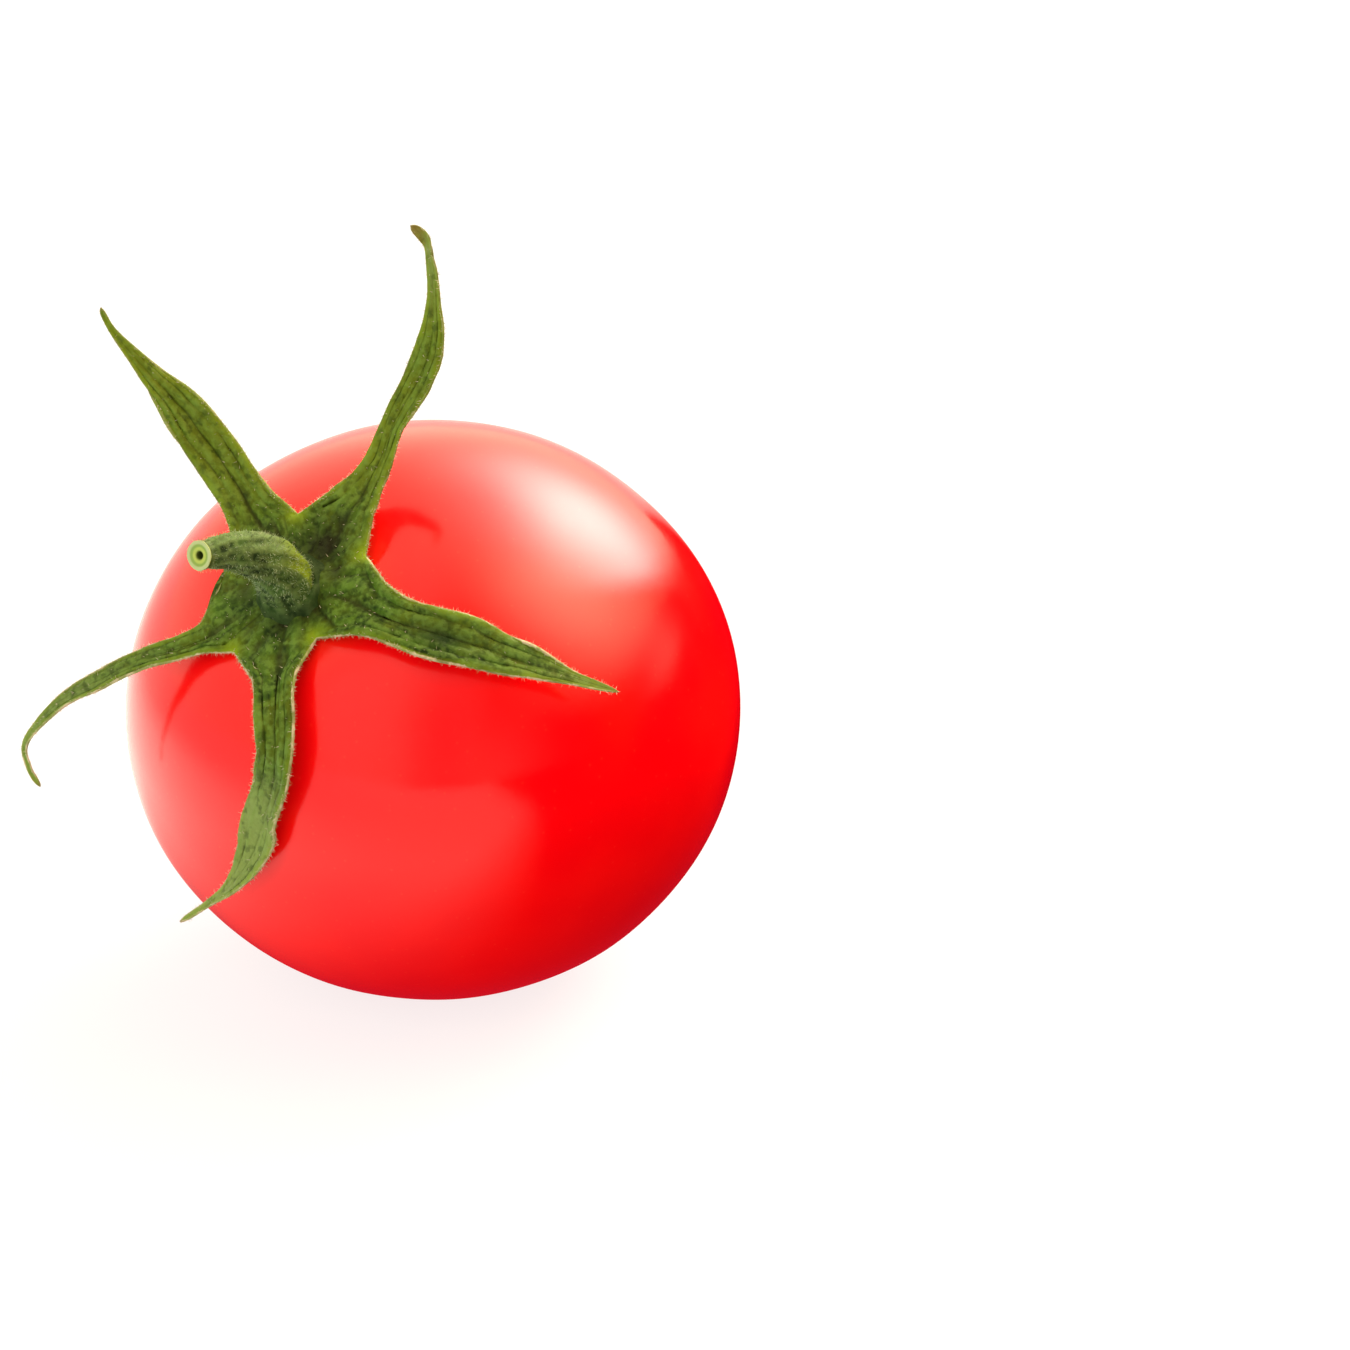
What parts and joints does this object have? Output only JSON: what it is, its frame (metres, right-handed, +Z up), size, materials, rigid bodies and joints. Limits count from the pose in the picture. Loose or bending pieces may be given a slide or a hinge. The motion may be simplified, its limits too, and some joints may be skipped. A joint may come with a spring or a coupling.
{
  "type": "tomato",
  "caption": "Small ripe vine tomato lying tilted on its flat spot, with a green star-shaped calyx and a short bent cut stem.",
  "frame": {"origin": "middle of the small flat spot that the fruit rests on, in the plane of the surface under it", "axes": "+Z up; the pictured side faces -Y; the stem axis leans 43.5 degrees from +Z, towards -X and -Y"},
  "size_m": [0.0585, 0.05, 0.0679],
  "materials": {
    "tomato_skin": "smooth waxy skin, glossy",
    "sepal_green": "matt, finely hairy leaf",
    "stem_green": "matt, finely hairy stem"
  },
  "bodies": {
    "root": {"fruit": "tomato_skin", "calyx": "sepal_green", "stem": "stem_green"}
  },
  "joints": []
}
